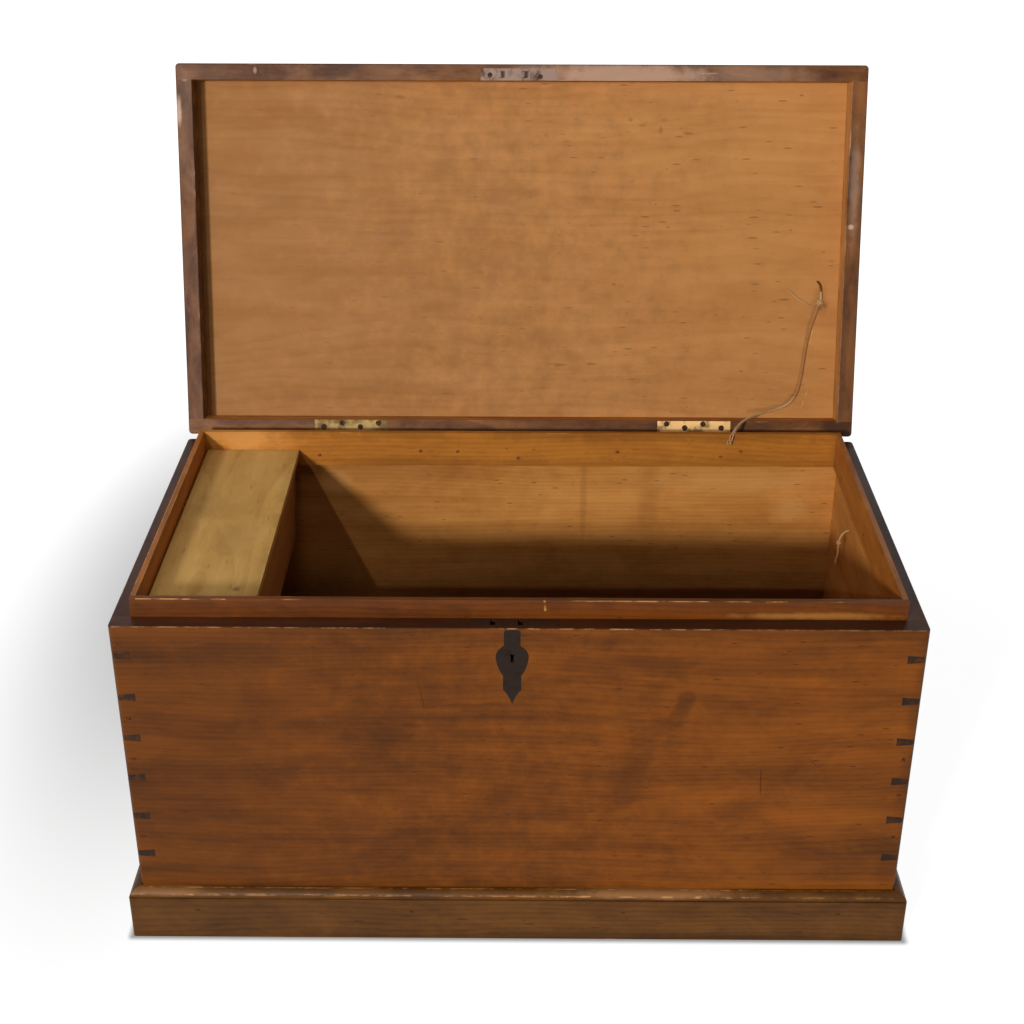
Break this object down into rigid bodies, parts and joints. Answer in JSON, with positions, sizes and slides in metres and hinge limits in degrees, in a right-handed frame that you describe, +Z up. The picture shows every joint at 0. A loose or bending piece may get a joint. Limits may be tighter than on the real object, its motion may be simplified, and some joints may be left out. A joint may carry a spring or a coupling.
{
  "type": "blanket chest",
  "caption": "Dovetailed wooden blanket chest with a hinged deep-rimmed lid, a moulded plinth, dust lips, a lidded till, a chest lock and drop handles.",
  "frame": {"origin": "on the floor, on the centre line, in the plane of the carcass's front face (the inner edge of the front plinth's underside)", "axes": "+X towards the chest's right as seen from the front, +Y from front to back, +Z up"},
  "size_m": [0.947, 0.6971, 0.9228],
  "materials": {
    "carcass_wood": "old oiled softwood, reddish brown, worn",
    "inner_wood": "dry unpolished softwood, orange brown",
    "lid_wood": "dry planed softwood, golden tan",
    "rim_wood": "dark handled wood, slightly glossy",
    "plinth_wood": "dark brown stained wood with worn arrises",
    "till_wood": "dry yellowish softwood",
    "bottom_wood": "rough-sawn softwood",
    "iron": "rust-browned wrought iron",
    "brass": "aged brass, dulled",
    "cord": "worn twisted string"
  },
  "bodies": {
    "carcass": {"front_board": "carcass_wood", "back_board": "carcass_wood", "left_end_board": "carcass_wood", "right_end_board": "carcass_wood", "bottom_board_front": "bottom_wood", "bottom_board_middle": "bottom_wood", "bottom_board_back": "bottom_wood", "plinth_front": "plinth_wood", "plinth_back": "plinth_wood", "plinth_left": "plinth_wood", "plinth_right": "plinth_wood", "lip_front": "inner_wood", "lip_back": "inner_wood", "lip_left": "inner_wood", "lip_right": "inner_wood", "till_side_board": "till_wood", "till_bottom_board": "till_wood", "lip_nails": "iron", "dovetail_nails": "iron", "plinth_nails": "iron", "bottom_nails": "iron", "escutcheon": "iron", "lock_cap": "iron", "lock_spring": "iron", "key_pin": "iron", "lock_screws": "iron", "lock_plate": "brass", "wall_cord": "cord", "hinge_leaf_carcass_left": "brass", "hinge_pin_left": "brass", "hinge_screws_carcass_left": "iron", "handle_plate_left": "iron", "handle_screws_left": "iron", "hinge_leaf_carcass_right": "brass", "hinge_pin_right": "brass", "hinge_screws_carcass_right": "iron", "handle_plate_right": "iron", "handle_screws_right": "iron"},
    "lid": {"lid_top_board": "lid_wood", "lid_rim_front": "rim_wood", "lid_rim_back": "rim_wood", "lid_rim_left": "rim_wood", "lid_rim_right": "rim_wood", "lid_nails": "iron", "hinge_leaf_lid_left": "brass", "hinge_leaf_lid_right": "brass", "hinge_screws_lid_left": "iron", "hinge_screws_lid_right": "iron", "striker_plate": "brass", "striker_screws": "iron", "stay_hook": "iron", "stay_cord": "cord"},
    "till_lid": {"till_lid": "till_wood"},
    "lock_bolt": {"lock_bolt": "iron"},
    "left_bail": {"handle_bail_left": "iron"},
    "right_bail": {"handle_bail_right": "iron"}
  },
  "joints": [
    {"name": "lid_hinge", "type": "hinge", "parent": "carcass", "child": "lid", "pos_m": [0, 0.5024, 0.43915], "axis": [-1, 0, 0], "range_deg": [-105.5, 0], "deforming": ["stay_cord"]},
    {"name": "till_lid_pivot", "type": "hinge", "parent": "carcass", "child": "till_lid", "pos_m": [-0.4255, 0.249, 0.4315], "axis": [0, -1, 0], "range_deg": [0, 92.5]},
    {"name": "lock_bolt_slide", "type": "slide", "parent": "carcass", "child": "lock_bolt", "axis": [1, 0, 0], "range_m": [0, 0.0085]},
    {"name": "left_handle_swing", "type": "hinge", "parent": "carcass", "child": "left_bail", "pos_m": [-0.4685, 0.249, 0.28], "axis": [0, 1, 0], "range_deg": [0, 90]},
    {"name": "right_handle_swing", "type": "hinge", "parent": "carcass", "child": "right_bail", "pos_m": [0.4685, 0.249, 0.28], "axis": [0, -1, 0], "range_deg": [0, 90]}
  ]
}
